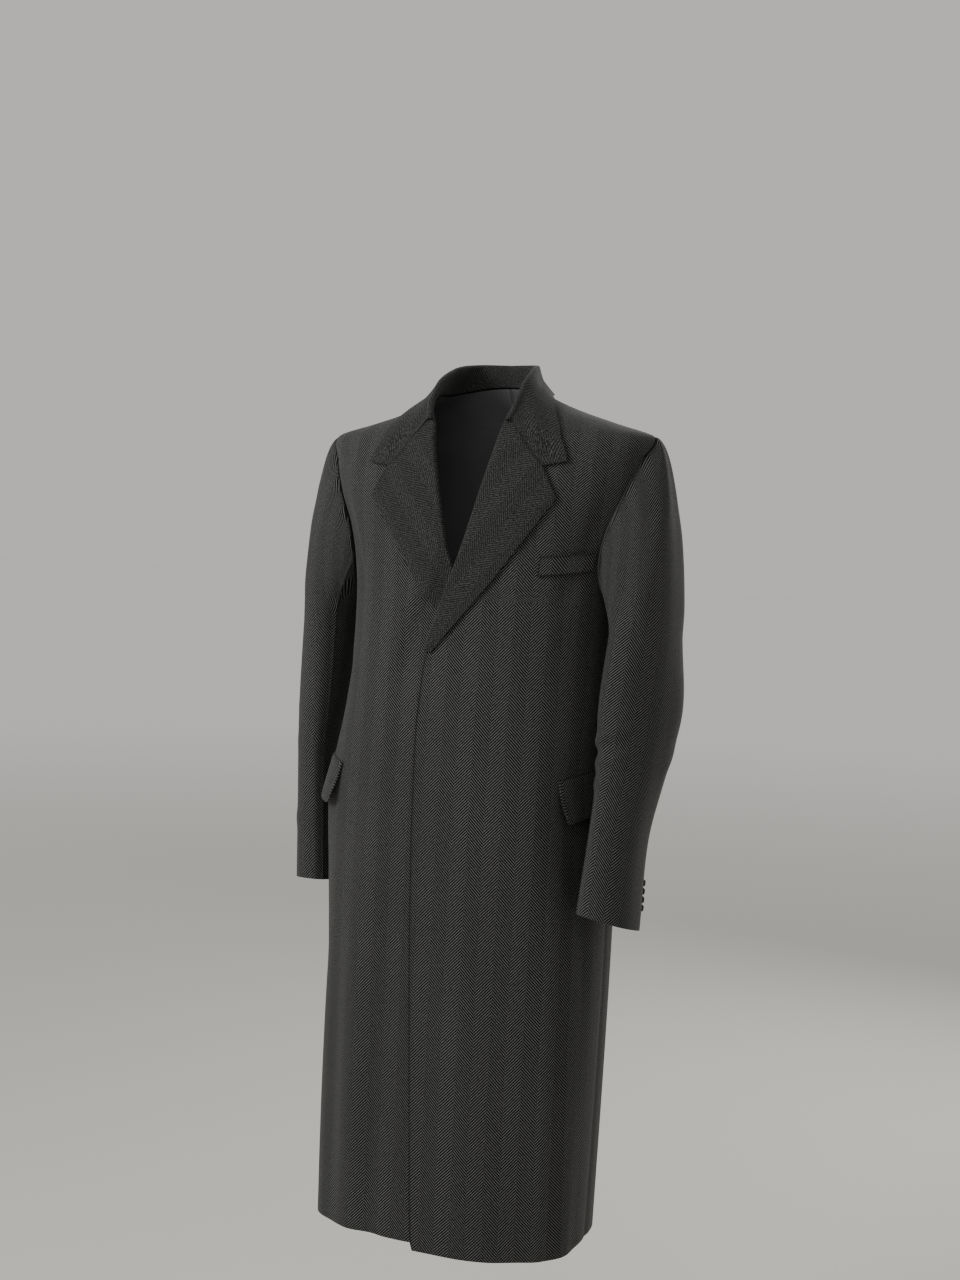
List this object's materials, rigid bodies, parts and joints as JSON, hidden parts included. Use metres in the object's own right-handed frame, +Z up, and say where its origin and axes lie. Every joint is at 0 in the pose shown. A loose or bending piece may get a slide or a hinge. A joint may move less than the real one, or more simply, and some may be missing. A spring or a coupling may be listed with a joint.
{
  "type": "overcoat",
  "caption": "Long single-breasted overcoat in its worn, hollow form, with notched lapels, a concealed front, flapped pockets, a breast welt and buttoned cuffs.",
  "frame": {"origin": "middle of the neck, level with the neck end of the shoulder seams, where the wearer's shoulders hold the coat", "axes": "+Z up, -Y the way the coat faces, +X the wearer's left"},
  "size_m": [0.5397, 0.3031, 1.1701],
  "materials": {
    "wool": "woven herringbone",
    "button": "satin"
  },
  "bodies": {
    "root": {"front_left": "wool", "front_right": "wool", "back_left": "wool", "back_right": "wool", "lapel_left": "wool", "lapel_right": "wool", "collar": "wool", "flap_left": "wool", "flap_right": "wool", "breast_welt": "wool", "sleeve_left_top": "wool", "sleeve_left_under": "wool", "sleeve_right_top": "wool", "sleeve_right_under": "wool", "cuff_button_left_1": "button", "cuff_button_left_2": "button", "cuff_button_left_3": "button", "cuff_button_left_4": "button", "cuff_button_right_1": "button", "cuff_button_right_2": "button", "cuff_button_right_3": "button", "cuff_button_right_4": "button"}
  },
  "joints": []
}
